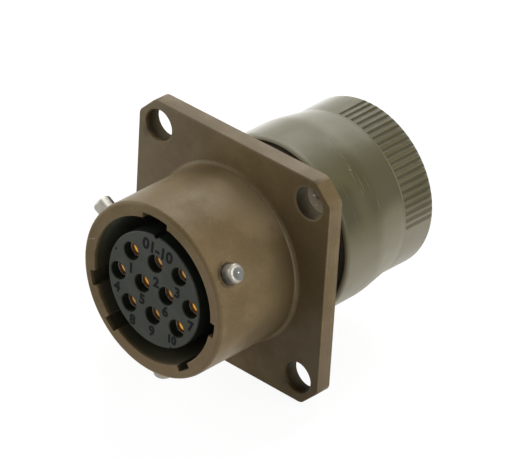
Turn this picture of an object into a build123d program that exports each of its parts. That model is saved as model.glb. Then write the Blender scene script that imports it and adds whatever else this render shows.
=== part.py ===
from build123d import *
import math
import os

# Bayonet circular connector: a square-flange wall receptacle with ten socket contacts and a screwed endbell.
# Frame: the connector's axis is Y. The mating face looks along -Y, the master keyway is up (+Z), and the
# origin is on the axis in the rear face of the flange, which is the face that lies on the panel.
# Angles round the axis run from +Z towards +X. Sizes are in millimetres.

# Flange
flange_side = 26.19
flange_thickness = 2.0
flange_corner_cut = 2.1
flange_corner_round = 1.0
flange_edge_break = 0.12
flange_hole_inset = 2.785
flange_hole_radius = 1.75
flange_hole_break = 0.15

# Front barrel
barrel_radius = 9.525
barrel_length = 11.1
barrel_wall = 1.525
cavity_depth = 10.1
rim_round = 0.4
mouth_break = 0.1
barrel_root_fillet = 0.5
web_thickness = 1.5

# Keyways in the front bore
keyway_depth = 0.65
master_keyway_width = 3.35
minor_keyway_width = 1.65
minor_keyway_angles = (95.0, 145.0, 220.0, 255.0)
keyway_length = 9.5

# Bayonet pins
pin_count = 3
first_pin_angle = 59.3
pin_radius = 1.0
pin_height = 1.375
pin_setback = 2.2
pin_end_round = 0.28
pin_dish_radius = 0.5
pin_dish_depth = 0.1
pin_seat_wall = 0.3

# Rear barrel: neck, seal groove and thread
thread_major_radius = 8.73
thread_pitch = 25.4 / 24
thread_depth = 0.6134 * thread_pitch
thread_turns = 4
endbell_gap = 5.1
seal_groove_width = 1.25
seal_groove_rise = 0.12
shell_rear_chamfer = 0.35
rear_barrel_wall = 0.78

# Insulators
insert_radius = 6.3
insert_recess = 0.3
insert_edge_break = 0.15
shoulder_length = 2.7
disc_length = 4.7
notch_width = 0.7
notch_length = 1.6

# Contact layout: three rows, the outer two shifted by half a pitch
contact_pitch = 3.3
row_pitch = 3.05
row_counts = (3, 4, 3)
face_hole_radius = 0.975
face_hole_break = 0.12
clip_cavity_radius = 1.27
clip_cavity_length = 3.75

# Socket contacts
contact_recess = 1.2
tine_radius = 0.74
tine_mouth_break = 0.16
pin_bore = 0.53
pin_bore_depth = 6.4
tine_slot = 0.24
tine_slot_length = 3.2
contact_radius = 0.9
contact_shoulder_radius = 1.1
contact_shoulder_length = 1.05
crimp_bore = 0.6
crimp_depth = 4.2
contact_tail = 8.2

# Contact hoods
hood_lead = 0.3
hood_wall = 0.12
hood_length = 6.6

# Retention clips
clip_wall = 0.24
clip_length = 2.3
clip_slit = 0.45

# Retaining ring
retaining_ring_thickness = 0.8
retaining_ring_lip = 0.55
retaining_groove_depth = 0.3
retaining_ring_gap_angle = 16.0

# Wire grommet
grommet_front_length = 0.9
grommet_nose_length = 2.2
grommet_nose_drop = 0.95
wire_hole_radius = 0.72
wire_hole_mouth = 1.05
wire_hole_mouth_depth = 0.45

# Follower ring
follower_length = 3.0
follower_lip = 1.2
follower_edge_break = 0.2

# Seal ring
seal_section_radius = 0.5

# Endbell
skirt_wall = 0.65
endbell_length = 14.05
endbell_straight = 5.3
endbell_taper_end = 9.4
taper_drop = 0.66
band_flare = 0.07
taper_start_blend = 9.0
taper_end_blend = 3.0
endbell_rear_round = 0.55
endbell_front_round = 0.45
skirt_depth = 1.3
follower_seat_width = 1.04
throat_round = 0.5
thread_lead = 0.25

# Flutes on the endbell
flute_groups = 2
flutes_per_group = 20
flute_pitch_angle = 4.85
flute_group_centre = 43.35
flute_length = 4.4
flute_tool_radius = 0.26
flute_depth = 0.16

# Clearances
insert_clearance = 0.05
seat_clearance = 0.02
press_clearance = 0.01
contact_clearance = 0.03
thread_clearance = 0.08
ring_clearance = 0.05
seal_clearance = 0.1
follower_clearance = 0.12
cone_clearance = 0.1

# How far the cutting tools run past the faces that they open
overshoot = 1.0

# Stations along the axis, worked out from the sizes above
rim_y = -flange_thickness - barrel_length
cavity_floor_y = rim_y + cavity_depth
web_rear_y = cavity_floor_y + web_thickness
insert_face_y = rim_y + insert_recess
shoulder_rear_y = web_rear_y + seat_clearance + shoulder_length
disc_front_y = shoulder_rear_y + seat_clearance
disc_rear_y = disc_front_y + disc_length
ring_front_y = disc_rear_y + seat_clearance
ring_rear_y = ring_front_y + retaining_ring_thickness
groove_front_y = endbell_gap
groove_rear_y = groove_front_y + seal_groove_width
endbell_thread_y = endbell_gap + skirt_depth
shell_rear_y = endbell_thread_y + thread_turns * thread_pitch
grommet_front_y = disc_rear_y + seat_clearance
grommet_step_y = grommet_front_y + grommet_front_length
grommet_nose_y = shell_rear_y + grommet_nose_length
follower_front_y = shell_rear_y + follower_clearance
follower_rear_y = follower_front_y + follower_length
endbell_seat_y = follower_rear_y + follower_clearance / 2
endbell_rear_y = endbell_gap + endbell_length

# Radii and spacings worked out from the sizes above
flange_hole_spacing = flange_side - 2 * flange_hole_inset
barrel_bore = barrel_radius - barrel_wall
flange_root_radius = barrel_radius + 2 * barrel_root_fillet
keyway_floor = barrel_bore + keyway_depth
pin_tip = barrel_radius + pin_height
pin_foot = barrel_bore + pin_seat_wall
pin_y = rim_y + pin_setback
pin_angles = [first_pin_angle + 360 / pin_count * number for number in range(pin_count)]
thread_root = thread_major_radius - thread_depth
thread_bore = thread_root + thread_clearance
insert_bore = thread_root - rear_barrel_wall
shoulder_radius = insert_bore - insert_clearance
web_bore = insert_radius + insert_clearance
retaining_groove_radius = insert_bore + retaining_groove_depth
retaining_ring_bore = insert_bore - retaining_ring_lip
grommet_nose_radius = shoulder_radius - grommet_nose_drop
follower_radius = thread_bore - follower_clearance
follower_bore = shoulder_radius - follower_lip
seal_groove_radius = thread_root + seal_groove_rise
seal_centre_radius = seal_groove_radius + seal_clearance + seal_section_radius
skirt_bore = seal_centre_radius + seal_section_radius + seal_clearance
endbell_radius = skirt_bore + skirt_wall
band_front_radius = endbell_radius - taper_drop
band_rear_radius = band_front_radius + band_flare
throat_bore = follower_radius - follower_seat_width
hood_inner = tine_radius + contact_clearance
hood_outer = hood_inner + hood_wall


def turned(*corners):
    """Solid of revolution about Y, from one (radius, y, rounding) for each corner of its section."""
    points = [(radius, y, 0) for radius, y, _ in corners]
    outline = FilletPolyline(*points, radius=[rounding for _, _, rounding in corners], close=True)
    return revolve(make_face(outline), Axis.Y)


def rod(radius, front, rear, x=0.0, z=0.0):
    """Round bar along the axis direction between two stations."""
    return Pos(x, front, z) * Rot(-90, 0, 0) * Cylinder(
        radius, rear - front, align=(Align.CENTER, Align.CENTER, Align.MIN)
    )


def hole(radius, front, rear, x=0.0, z=0.0):
    """Tool for a round hole that is open at both ends."""
    return rod(radius, front - overshoot, rear + overshoot, x, z)


def countersink(mouth_radius, hole_radius, depth, x, y, z, side):
    """Tool that widens a hole's mouth, in a face that looks forward (side 1) or back (side -1)."""
    return Pos(x, y, z) * Rot(-90 * side, 0, 0) * Cone(
        mouth_radius, hole_radius, depth, align=(Align.CENTER, Align.CENTER, Align.MIN)
    )


def round_axis(angle, shape):
    """Turns a shape about the connector's axis, from +Z towards +X."""
    return Rot(0, angle, 0) * shape


def contact_places():
    """Places (x, z) of the contacts, row by row from the top left."""
    places = []
    for row, count in enumerate(row_counts):
        z = row_pitch * ((len(row_counts) - 1) / 2 - row)
        for column in range(count):
            places.append((contact_pitch * (column - (count - 1) / 2), z))
    return places


def receptacle_shell():
    half = flange_side / 2
    cut = half - flange_corner_cut
    outline = [(half, cut), (cut, half), (-cut, half), (-half, cut)]
    outline += [(-x, -z) for x, z in outline]
    plate = extrude(
        Plane.XZ * make_face(FilletPolyline(*outline, radius=[flange_corner_round] * 8, close=True)),
        flange_thickness,
    )
    plate = chamfer(plate.faces().filter_by(Axis.Y).edges(), flange_edge_break)
    body = turned(
        (barrel_bore, rim_y + mouth_break, 0),
        (barrel_bore + mouth_break, rim_y, 0),
        (barrel_radius, rim_y, rim_round),
        (barrel_radius, -flange_thickness, barrel_root_fillet),
        (flange_root_radius, -flange_thickness, 0),
        (flange_root_radius, 0, 0),
        (thread_major_radius, 0, 0),
        (thread_major_radius, groove_front_y, 0),
        (seal_groove_radius, groove_front_y, 0),
        (seal_groove_radius, groove_rear_y, 0),
        (thread_root, groove_rear_y, 0),
        (thread_root, shell_rear_y - shell_rear_chamfer, 0),
        (thread_root - shell_rear_chamfer, shell_rear_y, 0),
        (insert_bore, shell_rear_y, 0),
        (insert_bore, web_rear_y, 0),
        (web_bore, web_rear_y, 0),
        (web_bore, cavity_floor_y, 0),
        (barrel_bore, cavity_floor_y, 0),
    )
    shell = body + (plate - rod(barrel_radius, -flange_thickness, 0))
    shell -= rod(retaining_groove_radius, ring_front_y - seat_clearance, ring_rear_y + seat_clearance)
    for angle, width in [(0.0, master_keyway_width)] + [(a, minor_keyway_width) for a in minor_keyway_angles]:
        slot = Pos(0, rim_y - overshoot, 0) * Box(
            width, keyway_length + overshoot, keyway_floor, align=(Align.CENTER, Align.MIN, Align.MIN)
        )
        shell -= round_axis(angle, slot & rod(keyway_floor, rim_y - overshoot, 0))
    reach = flange_hole_spacing / 2
    for x in (-reach, reach):
        for z in (-reach, reach):
            shell -= hole(flange_hole_radius, -flange_thickness, 0, x, z)
            mouth_radius = flange_hole_radius + flange_hole_break
            for y, side in ((-flange_thickness, 1), (0.0, -1)):
                shell -= countersink(mouth_radius, flange_hole_radius, flange_hole_break, x, y, z, side)
    for angle in pin_angles:
        shell -= round_axis(
            angle,
            Pos(0, pin_y, pin_foot - seat_clearance) * Cylinder(
                pin_radius + press_clearance,
                pin_tip - pin_foot,
                align=(Align.CENTER, Align.CENTER, Align.MIN),
            ),
        )
    return shell


def bayonet_pin(angle):
    pin = turned(
        (0, pin_foot, 0),
        (pin_radius, pin_foot, 0),
        (pin_radius, pin_tip, pin_end_round),
        (pin_dish_radius, pin_tip, 0),
        (0, pin_tip - pin_dish_depth, 0),
    )
    return round_axis(angle, Pos(0, pin_y, 0) * Rot(90, 0, 0) * pin)


def front_insulator():
    insert = turned(
        (0, insert_face_y, 0),
        (insert_radius, insert_face_y, insert_edge_break),
        (insert_radius, web_rear_y + seat_clearance, 0),
        (shoulder_radius, web_rear_y + seat_clearance, 0),
        (shoulder_radius, shoulder_rear_y, 0),
        (0, shoulder_rear_y, 0),
    )
    notch_side = notch_width / math.sqrt(2)
    notch = Rot(0, 45, 0) * Box(notch_side, 2 * notch_length, notch_side)
    insert -= Pos(0, insert_face_y, insert_radius) * notch
    for x, z in contact_places():
        insert -= hole(face_hole_radius, insert_face_y, shoulder_rear_y, x, z)
        mouth_radius = face_hole_radius + face_hole_break
        insert -= countersink(mouth_radius, face_hole_radius, face_hole_break, x, insert_face_y, z, 1)
    return insert


def retention_disc():
    disc = rod(shoulder_radius, disc_front_y, disc_rear_y)
    for x, z in contact_places():
        disc -= rod(clip_cavity_radius, disc_front_y - overshoot, disc_front_y + clip_cavity_length, x, z)
        disc -= hole(contact_shoulder_radius + contact_clearance, disc_front_y, disc_rear_y, x, z)
    return disc


def socket_contact(x, z):
    front = insert_face_y + contact_recess
    sleeve_end = front - hood_lead + hood_length + contact_clearance
    shoulder_front = disc_front_y
    shoulder_rear = shoulder_front + contact_shoulder_length
    contact = turned(
        (pin_bore, front + tine_mouth_break, 0),
        (pin_bore + tine_mouth_break, front, 0),
        (tine_radius, front, 0),
        (tine_radius, sleeve_end, 0),
        (contact_radius, sleeve_end, 0),
        (contact_radius, shoulder_front, 0),
        (contact_shoulder_radius, shoulder_front, 0),
        (contact_shoulder_radius, shoulder_rear, 0),
        (contact_radius, shoulder_rear, 0),
        (contact_radius, contact_tail, 0),
        (crimp_bore, contact_tail, 0),
        (crimp_bore, contact_tail - crimp_depth, 0),
        (0, contact_tail - crimp_depth, 0),
        (0, front + pin_bore_depth, 0),
        (pin_bore, front + pin_bore_depth, 0),
    )
    slot = Pos(0, front, 0) * Box(tine_slot, 2 * tine_slot_length, 2 * (tine_radius + overshoot))
    return Pos(x, 0, z) * (contact - slot)


def contact_hood(x, z):
    front = insert_face_y + contact_recess - hood_lead
    rear = front + hood_length
    return Pos(x, 0, z) * (rod(hood_outer, front, rear) - hole(hood_inner, front, rear))


def retention_clip(x, z):
    front = disc_front_y + contact_shoulder_length + contact_clearance
    rear = front + clip_length
    outer = clip_cavity_radius - contact_clearance
    clip = rod(outer, front, rear) - hole(outer - clip_wall, front, rear)
    clip -= Pos(0, front - overshoot, 0) * Box(
        clip_slit, clip_length + 2 * overshoot, outer + overshoot, align=(Align.CENTER, Align.MIN, Align.MIN)
    )
    return Pos(x, 0, z) * clip


def retaining_ring():
    outer = retaining_groove_radius - ring_clearance
    ring = rod(outer, ring_front_y, ring_rear_y) - hole(retaining_ring_bore, ring_front_y, ring_rear_y)
    gap_width = 2 * outer * math.sin(math.radians(retaining_ring_gap_angle / 2))
    return ring - Pos(0, ring_front_y - overshoot, 0) * Box(
        gap_width,
        retaining_ring_thickness + 2 * overshoot,
        outer + overshoot,
        align=(Align.CENTER, Align.MIN, Align.MAX),
    )


def wire_grommet():
    neck = retaining_ring_bore - ring_clearance
    grommet = turned(
        (0, grommet_front_y, 0),
        (neck, grommet_front_y, 0),
        (neck, grommet_step_y, 0),
        (shoulder_radius, grommet_step_y, 0),
        (shoulder_radius, shell_rear_y, 0),
        (grommet_nose_radius, grommet_nose_y, 0),
        (0, grommet_nose_y, 0),
    )
    for x, z in contact_places():
        pocket_rear = contact_tail + contact_clearance
        grommet -= rod(contact_radius + contact_clearance, grommet_front_y - overshoot, pocket_rear, x, z)
        grommet -= rod(wire_hole_radius, contact_tail, grommet_nose_y + overshoot, x, z)
        grommet -= countersink(
            wire_hole_mouth, wire_hole_radius, wire_hole_mouth_depth, x, grommet_nose_y, z, -1
        )
    return grommet


def follower_ring():
    slope = (shoulder_radius - grommet_nose_radius) / grommet_nose_length
    cone_front = shoulder_radius + cone_clearance - slope * (follower_front_y - shell_rear_y)
    cone_rear_y = shell_rear_y + (shoulder_radius + cone_clearance - follower_bore) / slope
    cone_rear_y = min(cone_rear_y, follower_rear_y - follower_edge_break)
    cone_rear = shoulder_radius + cone_clearance - slope * (cone_rear_y - shell_rear_y)
    return turned(
        (cone_front, follower_front_y, 0),
        (follower_radius, follower_front_y, 0),
        (follower_radius, follower_rear_y, follower_edge_break),
        (follower_bore, follower_rear_y, 0),
        (follower_bore, cone_rear_y, 0),
        (cone_rear, cone_rear_y, 0),
    )


def seal_ring():
    middle = (groove_front_y + groove_rear_y) / 2
    section = Pos(seal_centre_radius, middle, 0) * Circle(seal_section_radius)
    return revolve(section, Axis.Y)


def endbell():
    bell = turned(
        (skirt_bore, endbell_gap, 0),
        (endbell_radius, endbell_gap, endbell_front_round),
        (endbell_radius, endbell_gap + endbell_straight, taper_start_blend),
        (band_front_radius, endbell_gap + endbell_taper_end, taper_end_blend),
        (band_rear_radius, endbell_rear_y, endbell_rear_round),
        (throat_bore, endbell_rear_y, throat_round),
        (throat_bore, endbell_seat_y, 0),
        (thread_bore, endbell_seat_y, 0),
        (thread_bore, endbell_thread_y + thread_lead, 0),
        (thread_bore + thread_lead, endbell_thread_y, 0),
        (skirt_bore, endbell_thread_y, 0),
    )
    tool_axis = band_front_radius + flute_tool_radius - flute_depth
    start = endbell_rear_y - flute_length
    tool = rod(flute_tool_radius, start, endbell_rear_y + overshoot, 0, tool_axis)
    tools = []
    for group in range(flute_groups):
        centre = flute_group_centre + group * 360 / flute_groups
        for index in range(flutes_per_group):
            offset = (index - (flutes_per_group - 1) / 2) * flute_pitch_angle
            tools.append(round_axis(centre + offset, tool))
    return bell - tools


def write(name, shape):
    """Writes one node, with its solids gathered under the node's name."""
    shape.label = name
    export_step(shape, os.path.join("parts", name + ".step"))


def main():
    os.makedirs("parts", exist_ok=True)
    write("receptacle_shell", receptacle_shell())
    for number, angle in enumerate(pin_angles, 1):
        write(f"bayonet_pin_{number}", bayonet_pin(angle))
    write("front_insulator", front_insulator())
    write("retention_disc", retention_disc())
    for number, (x, z) in enumerate(contact_places(), 1):
        write(f"socket_contact_{number}", socket_contact(x, z))
        write(f"contact_hood_{number}", contact_hood(x, z))
    write("retention_clips", Compound([retention_clip(x, z).solid() for x, z in contact_places()]))
    write("retaining_ring", retaining_ring())
    write("wire_grommet", wire_grommet())
    write("follower_ring", follower_ring())
    write("seal_ring", seal_ring())
    write("endbell", endbell())


main()
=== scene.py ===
"""Looks of a square-flange bayonet connector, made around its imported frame. Lengths are in metres."""

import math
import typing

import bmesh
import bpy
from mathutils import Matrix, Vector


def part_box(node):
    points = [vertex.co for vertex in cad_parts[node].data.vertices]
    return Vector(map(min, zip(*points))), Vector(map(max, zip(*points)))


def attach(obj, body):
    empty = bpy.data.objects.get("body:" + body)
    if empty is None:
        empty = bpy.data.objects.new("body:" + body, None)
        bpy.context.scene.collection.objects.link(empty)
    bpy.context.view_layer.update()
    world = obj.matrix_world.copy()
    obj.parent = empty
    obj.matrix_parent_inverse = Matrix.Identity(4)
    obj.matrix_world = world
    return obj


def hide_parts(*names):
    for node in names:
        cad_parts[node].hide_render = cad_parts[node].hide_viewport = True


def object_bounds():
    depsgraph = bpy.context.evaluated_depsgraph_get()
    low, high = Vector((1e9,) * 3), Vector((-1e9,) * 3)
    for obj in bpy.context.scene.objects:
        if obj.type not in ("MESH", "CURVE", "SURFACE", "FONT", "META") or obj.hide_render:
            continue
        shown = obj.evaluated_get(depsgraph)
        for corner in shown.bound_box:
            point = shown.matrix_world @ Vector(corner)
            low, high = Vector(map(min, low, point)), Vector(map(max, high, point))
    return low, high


bl_info = {
    "name": "Bayonet connector",
    "version": (1, 0, 0),
    "blender": (4, 5, 0),
    "location": "3D View > Sidebar > Connector",
    "description": "Finishes a square-flange bayonet connector and sets it on a white studio floor",
    "category": "Object",
}

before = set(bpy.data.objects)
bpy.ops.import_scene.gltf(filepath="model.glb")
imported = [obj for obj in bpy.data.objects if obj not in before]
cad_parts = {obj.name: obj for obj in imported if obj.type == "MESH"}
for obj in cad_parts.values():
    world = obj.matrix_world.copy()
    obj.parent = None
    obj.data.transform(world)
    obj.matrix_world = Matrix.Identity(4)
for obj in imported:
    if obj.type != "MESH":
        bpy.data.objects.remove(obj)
cad_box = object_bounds()

MM = 0.001
INCH = 0.0254
FULL_TURN = 2 * math.pi
WELD = 0.001 * MM
TOUCH = 1e-6
CUT = 1e-7

# Places in millimetres: angles run round the connector's axis from +Z towards +X
pin_angles = (59.3, 179.3, 299.3)
number_places = (
    (-3.2, 1.1), (0.3, 1.0), (3.2, 1.1),
    (-5.0, -1.9), (-1.5, -1.8), (1.7, -1.8), (5.2, -1.9),
    (-2.7, -4.8), (0.0, -4.9), (2.75, -4.62),
)
# Contacts given a brighter gold, a painted highlight
painted_bright_contacts = (1, 5, 7, 10)
mould_dots = ((-5.35, 2.45), (2.7, -5.6))
hole_middle = (10.31 * MM, 0.0, 10.31 * MM)
hood_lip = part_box("contact_hood_1")[0].y / MM + 0.06

# Bayonet pins: their place along the axis, and how far from it their base and tip are
pins_y, base_distance, tip_distance = -10.9, 9.5, 10.9
pin_bases, pin_ends = (
    tuple(
        (away * math.sin(math.radians(turn)), pins_y, away * math.cos(math.radians(turn)))
        for turn in pin_angles
    )
    for away in (base_distance, tip_distance)
)

# Middles of small marks, by the name of their shades
places = {
    "pin_bases": pin_bases,
    "painted_shade_pin_ends": ((9.43, -10.85, 5.47), pin_ends[1], pin_ends[2]),
    "painted_shade_pin_side": ((8.75, -11.75, 4.95),),
    "pin_glint": ((9.33, -10.72, 5.54),),
    "barrel_stains": ((7.18, -6.16, 6.26), (7.0, -3.4, 6.5)),
    "dark_beside_holes": ((-11.83, -2.0, 9.17), (8.79, -2.0, -11.45)),
    "hole_tarnish": ((8.9, -1.4, 11.2), (8.9, -1.4, -9.4)),
    "hole_glow": ((11.6, -1.0, 9.1), (11.6, -1.0, -11.5)),
    "neck_dark": ((5.95, 4.50, 6.39), (5.50, 4.75, 6.78)),
    "neck_pale_spots": ((5.70, 4.32, 6.62), (5.62, 4.20, 6.69), (6.35, 3.9, 5.98)),
    "copper_chips": ((7.33, -9.89, 6.09), (7.42, -10.35, 6.0), (8.3, -12.3, 4.7), (8.75, -11.9, 3.8)),
    "rim_nick": ((-8.8, -13.1, 2.12), (-8.58, -13.1, 2.23), (-8.36, -13.1, 2.35), (-8.13, -13.1, 2.45)),
    "keyway_rust": ((-1.36, -13.0, 8.3), (-1.36, -12.8, 8.1)),
    "pale_chips": ((4.16, -9.61, 8.57), (10.94, -2.0, 3.26)),
    "bell_sheen": ((2.9, 9.3, 9.6),),
    "bell_nicks": (
        (6.16, 9.09, 7.87), (6.05, 8.98, 7.96), (6.71, 14.5, 6.72), (7.24, 14.6, 6.15), (7.67, 14.6, 5.61),
        (8.11, 14.55, 4.94),
    ),
}

# Scratches on the endbell: each one's middle and half its length, and the share of it that doesn't fade
bell_scratches = (
    (6.6, 8.9, 7.5, 1.6), (5.8, 9.15, 8.1, 1.2), (7.3, 9.4, 6.8, 2.2),
    (7.9, 9.0, 6.1, 0.9), (4.8, 9.3, 8.8, 1.0), (8.9, 10.6, 4.4, 1.4),
)
scratch_solid = 0.3

# Direction across the left pin, from its lit side to its shaded one
across_left_pin = (0.326, 0.746, 0.581)

# Words above the numbers: text, place across and up, share of the numbers' height, and turn in degrees
range_label = ("01-10", 0.3, 4.72, 1.14, 5.0)
two_figure_share = 0.82
letter_steps = 6
dot_base, dot_top, dot_steps = 0.15 * MM, 0.12 * MM, 16

# Unified thread: depth as a share of the pitch, and half the width of a ridge at its root and crest
thread_depth_share = 0.6134
root_share, crest_share = 7 / 16, 1 / 16
thread_sink = 0.03 * MM
thread_steps = 64

# Sharp edges, in degrees, for shading and for rounding
sharp_edge, sharp_pin_edge, sharp_small_edge, sharp_rim_edge = 50.0, 35.0, 30.0, 80.0
flat_join = 0.5
edge_segments = 2
endbell_break_share = 0.6
pin_steps, pin_round_segments = 48, 6

# Rims round the pins: steps round their section, and how far two waves round the pin make them uneven
rim_section_steps = 12
rim_unevenness = 0.35
rim_waves = (3, 7)

# Lamps: place and side length in metres, and the property that gives the power
lamps = {
    "key_lamp": ((-0.18, 0.40, 0.43), 0.40, "key_power"),
    "fill_lamp": ((0.52, 0.13, 0.20), 0.40, "fill_power"),
    "side_lamp": ((-0.26, -0.12, 0.07), 0.20, "side_power"),
}
white = (1.0, 1.0, 1.0)
floor_radius, floor_steps = 4.0, 96
floor_paper = (0.8, 0.8, 0.8)
floor_shaded = (0.18, 0.18, 0.18)
floor_glow_near, floor_glow_far = 0.915, 1.0
floor_fade = (0.08, 0.40)
nearest_view = 0.01


def colour(name, description, default):
    """Colour property, in linear values."""
    return bpy.props.FloatVectorProperty(
        name=name, description=description, subtype="COLOR", size=3, min=0.0, max=1.0, default=default
    )


def length(name, description, default):
    """Length property, in metres."""
    return bpy.props.FloatProperty(
        name=name, description=description, unit="LENGTH", precision=6, default=default
    )


def angle(name, description, degrees):
    """Angle property, whose default is given in degrees."""
    return bpy.props.FloatProperty(
        name=name, description=description, subtype="ANGLE", default=math.radians(degrees)
    )


def amount(name, description, default, most=1.0):
    """Plain number property from nought up."""
    return bpy.props.FloatProperty(name=name, description=description, min=0.0, max=most, default=default)


class ConnectorColours(bpy.types.PropertyGroup):
    """Colours of the connector's finishes."""

    shell_light: colour("Shell", "Brown plating of the receptacle shell", (0.222, 0.156, 0.072))
    shell_dark: colour("Shell patches", "Darker patches in the shell's plating", (0.146, 0.099, 0.041))
    shell_worn: colour("Shell edges", "Plating rubbed thin along the edges", (0.280, 0.215, 0.125))
    # Painted shade deep in the shell's front bore
    shell_bore: colour("Shell bore", "Painted shade deep in the shell's front bore", (0.072, 0.068, 0.042))
    endbell_light: colour("Endbell", "Olive finish of the endbell", (0.122, 0.107, 0.043))
    endbell_dark: colour("Endbell patches", "Darker patches on the endbell", (0.090, 0.080, 0.031))
    endbell_worn: colour("Endbell scratches", "Pale scratches and rubbed edges", (0.330, 0.310, 0.220))
    insert_grey: colour("Insert", "Moulded face with the contact holes", (0.046, 0.050, 0.037))
    # Painted shade behind the insert's face
    insert_deep: colour("Insert holes", "Painted shade behind the insert's face", (0.022, 0.026, 0.019))
    insert_ink: colour("Numbers", "Dark ink of the contact numbers", (0.0035, 0.0038, 0.0036))
    body_plastic: colour("Rear insulator", "Moulded plastic behind the insert", (0.050, 0.046, 0.040))
    gold: colour("Gold", "Plating of the socket contacts", (0.740, 0.390, 0.110))
    # Brighter gold, a painted highlight on some contacts
    gold_clean: colour("Painted bright gold", "Gold of the contacts painted brighter, as if lit", (0.950, 0.480, 0.050))
    hood: colour("Hoods", "Thin sleeves over the contacts' tines", (0.600, 0.440, 0.290))
    spring: colour("Clips", "Spring alloy of the retention clips", (0.560, 0.330, 0.150))
    steel: colour("Steel", "Bayonet pins and retaining ring", (0.400, 0.375, 0.320))
    aluminium: colour("Follower ring", "Bare aluminium of the follower ring", (0.520, 0.500, 0.460))
    grommet: colour("Grommet", "Rubber of the wire grommet", (0.030, 0.028, 0.026))
    seal: colour("Seal ring", "Black rubber of the seal ring", (0.036, 0.032, 0.019))


class ConnectorSizes(bpy.types.PropertyGroup):
    """Sizes of the pieces and finishes that are made here."""

    thread_radius: length("Thread radius", "Crest radius of the rear thread", 8.73 * MM)
    thread_pitch: length("Thread pitch", "24 threads to the inch", INCH / 24)
    thread_front: length("Thread front", "Where the rear thread starts, behind the seal groove", 6.35 * MM)
    thread_rear: length("Thread rear", "Rear end of the shell", 10.633 * MM)
    thread_chamfer: length("Thread chamfer", "Lead at the rear end of the thread", 0.35 * MM)
    pin_radius: length("Pin radius", "Radius of a bayonet pin", 1.0 * MM)
    pin_foot: length("Pin foot", "How far from the axis a pin starts", 8.3 * MM)
    pin_tip: length("Pin tip", "How far from the axis a pin ends", tip_distance * MM)
    pin_station: length("Pin station", "Place of the pins along the axis", pins_y * MM)
    pin_dish: length("Pin dish", "Radius of the dish in a pin's end", 0.5 * MM)
    pin_dish_depth: length("Dish depth", "Depth of the dish in a pin's end", 0.1 * MM)
    pin_round: length("Pin rounding", "Rounding of a pin's outer end", 0.28 * MM)
    barrel_radius: length("Barrel radius", "Outside radius of the front barrel", 9.525 * MM)
    rim_radius: length("Rim radius", "Radius of the middle of the rim round a pin", 1.17 * MM)
    rim_width: length("Rim width", "Half the width of the rim round a pin", 0.20 * MM)
    rim_height: length("Rim height", "How far the rim round a pin stands off the barrel", 0.12 * MM)
    number_height: length("Number height", "Text size of the contact numbers", 1.55 * MM)
    number_weight: length("Number weight", "How far the strokes of the numbers are widened", 0.065 * MM)
    number_thickness: length("Number thickness", "How far the ink stands off the insert", 0.02 * MM)
    edge_break: length("Edge break", "Rounding of the sharp machined edges", 0.05 * MM)


class ConnectorStage(bpy.types.PropertyGroup):
    """Camera, lamps and floor."""

    azimuth: angle("Azimuth", "Where the camera stands round the connector", 40.953)
    elevation: angle("Elevation", "How high the camera stands", 31.457)
    roll: angle("Roll", "Tilt of the camera about its own line of sight", 3.540)
    distance: length("Distance", "From the camera to the point that it looks at", 430.0 * MM)
    target: bpy.props.FloatVectorProperty(
        name="Target",
        description="Point that the camera looks at",
        subtype="TRANSLATION",
        default=(1.240 * MM, 2.152 * MM, 1.355 * MM),
    )
    lens: bpy.props.FloatProperty(name="Lens", description="Focal length in millimetres", default=287.23)
    floor_gap: length("Floor gap", "Gap between the flange's lower edge and the floor", 0.05 * MM)
    room_light: amount("Room light", "Level of the light that comes from all round", 0.17)
    key_power: amount("Key power", "Power of the large lamp above, in watts", 2.2, 100.0)
    side_power: amount("Side power", "Power of the lamp low on the left, in watts", 0.40, 100.0)
    fill_power: amount("Fill power", "Power of the large lamp on the right, in watts", 1.8, 100.0)


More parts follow.
